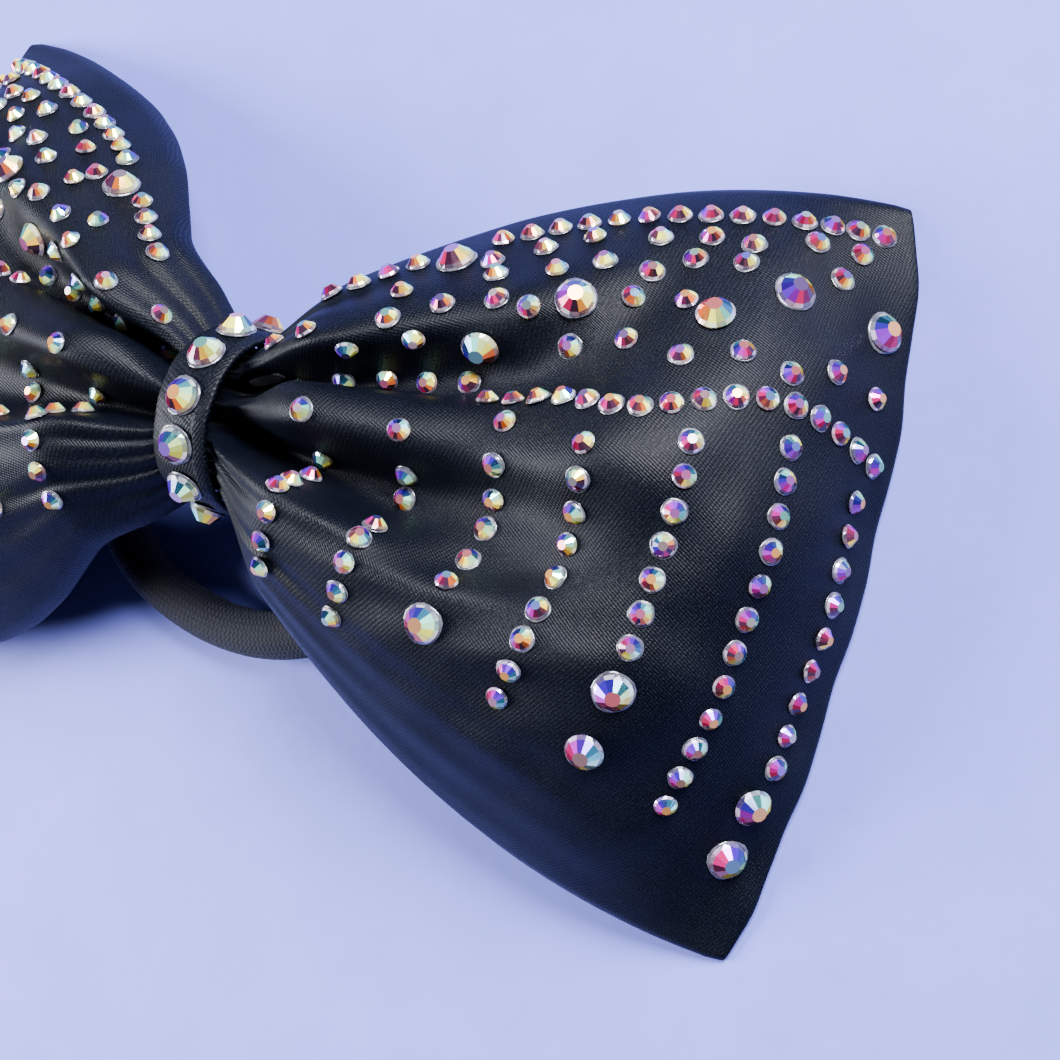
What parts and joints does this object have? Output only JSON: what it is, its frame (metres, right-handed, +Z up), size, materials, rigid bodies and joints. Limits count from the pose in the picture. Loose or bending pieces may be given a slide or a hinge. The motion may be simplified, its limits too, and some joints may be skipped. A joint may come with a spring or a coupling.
{
  "type": "cheer hair bow",
  "caption": "Tailless black satin hair bow with two puffed pleated wings, a wrapped knot, rows of flat-backed crystals and a swinging elastic loop.",
  "frame": {"origin": "on the supporting surface, under the middle of the knot", "axes": "+X along the wings, +Y across the wings, +Z up out of the decorated face"},
  "size_m": [0.1988, 0.114, 0.0465],
  "materials": {
    "black_satin": "satin weave with a soft sheen",
    "stiffener": "non-woven interfacing",
    "lining": "matt woven lining",
    "thread": "wound polyester thread",
    "rubber_core": "matt rubber strands",
    "knit_cover": "fine knit, slightly fuzzy",
    "crystal": "foil-backed faceted crystal with an iridescent coating"
  },
  "bodies": {
    "bow": {"front_satin_panel": "black_satin", "front_stiffener": "stiffener", "back_stiffener": "stiffener", "back_satin_panel": "black_satin", "pinch_tie": "thread", "band_lining": "lining", "knot_band": "black_satin", "band_end_tab": "black_satin", "right_edge_crystals": "crystal", "left_edge_crystals": "crystal", "right_column_crystals": "crystal", "left_column_crystals": "crystal", "right_field_crystals": "crystal", "left_field_crystals": "crystal", "right_large_crystals": "crystal", "left_large_crystals": "crystal", "knot_crystals": "crystal"},
    "elastic": {"elastic_core": "rubber_core", "elastic_cover": "knit_cover", "elastic_join": "knit_cover"}
  },
  "joints": [
    {"name": "elastic_swing", "type": "hinge", "parent": "bow", "child": "elastic", "pos_m": [0, 0, 0.01815], "axis": [1, 0, 0], "range_deg": [0, 138]}
  ]
}
